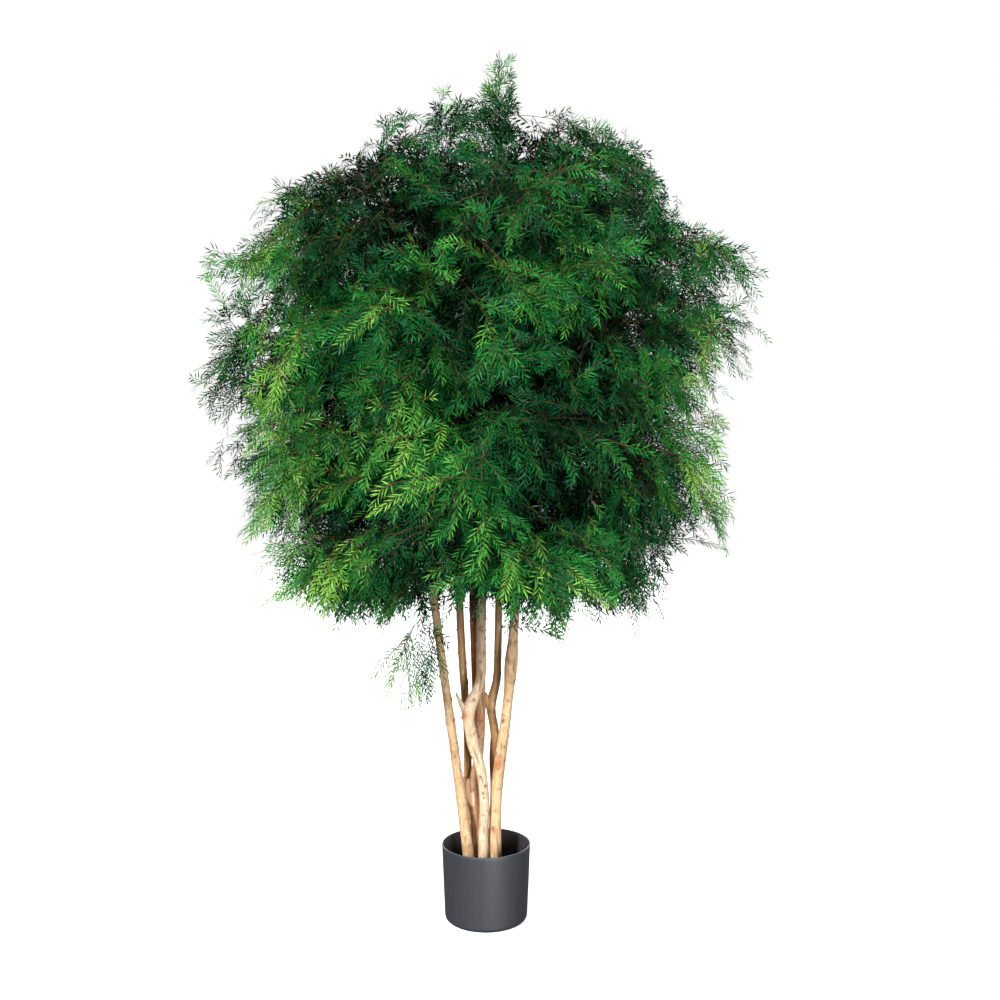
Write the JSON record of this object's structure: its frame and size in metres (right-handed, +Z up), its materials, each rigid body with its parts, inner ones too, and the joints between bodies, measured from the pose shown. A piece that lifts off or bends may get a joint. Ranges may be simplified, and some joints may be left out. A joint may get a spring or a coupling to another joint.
{
  "type": "potted preserved yew tree",
  "caption": "Preserved yew tree with a full needled crown on a cluster of bare stems, cast into a round plain pot that it stands on.",
  "frame": {"origin": "middle of the pot's flat underside, which is the face the tree stands on", "axes": "+Z up along the pot's axis, the front that the picture shows faces -Y, +X to its right"},
  "size_m": [1.3326, 1.2088, 1.9983],
  "materials": {
    "pot_plastic": "satin",
    "filling": "matte",
    "pale_wood": "satin",
    "brown_wood": "satin",
    "bark": "matte",
    "needles": "satin"
  },
  "bodies": {
    "root": {"back_left_stem": "brown_wood", "forked_stem": "brown_wood", "hanging_foliage": "needles", "high_bough_1": "bark", "high_bough_2": "bark", "high_bough_3": "bark", "high_bough_4": "bark", "high_bough_5": "bark", "high_foliage_1": "needles", "high_foliage_2": "needles", "high_foliage_3": "needles", "high_foliage_4": "needles", "high_foliage_5": "needles", "leader_stem": "brown_wood", "left_stem": "pale_wood", "low_bough_1": "bark", "low_bough_2": "bark", "low_bough_3": "bark", "low_bough_4": "bark", "low_bough_5": "bark", "low_bough_6": "bark", "low_foliage_1": "needles", "low_foliage_2": "needles", "low_foliage_3": "needles", "low_foliage_4": "needles", "low_foliage_5": "needles", "low_foliage_6": "needles", "main_stem": "pale_wood", "middle_bough_1": "bark", "middle_bough_2": "bark", "middle_bough_3": "bark", "middle_bough_4": "bark", "middle_bough_5": "bark", "middle_foliage_1": "needles", "middle_foliage_2": "needles", "middle_foliage_3": "needles", "middle_foliage_4": "needles", "middle_foliage_5": "needles", "pot": "pot_plastic", "pot_filling": "filling", "red_stem": "brown_wood", "shoulder_bough_1": "bark", "shoulder_bough_2": "bark", "shoulder_bough_3": "bark", "shoulder_foliage_1": "needles", "shoulder_foliage_2": "needles", "shoulder_foliage_3": "needles", "skirt_bough_1": "bark", "skirt_bough_2": "bark", "skirt_bough_3": "bark", "skirt_bough_4": "bark", "skirt_bough_5": "bark", "skirt_foliage_1": "needles", "skirt_foliage_2": "needles", "skirt_foliage_3": "needles", "skirt_foliage_4": "needles", "skirt_foliage_5": "needles", "top_foliage": "needles", "twisted_stem": "pale_wood"}
  },
  "joints": []
}
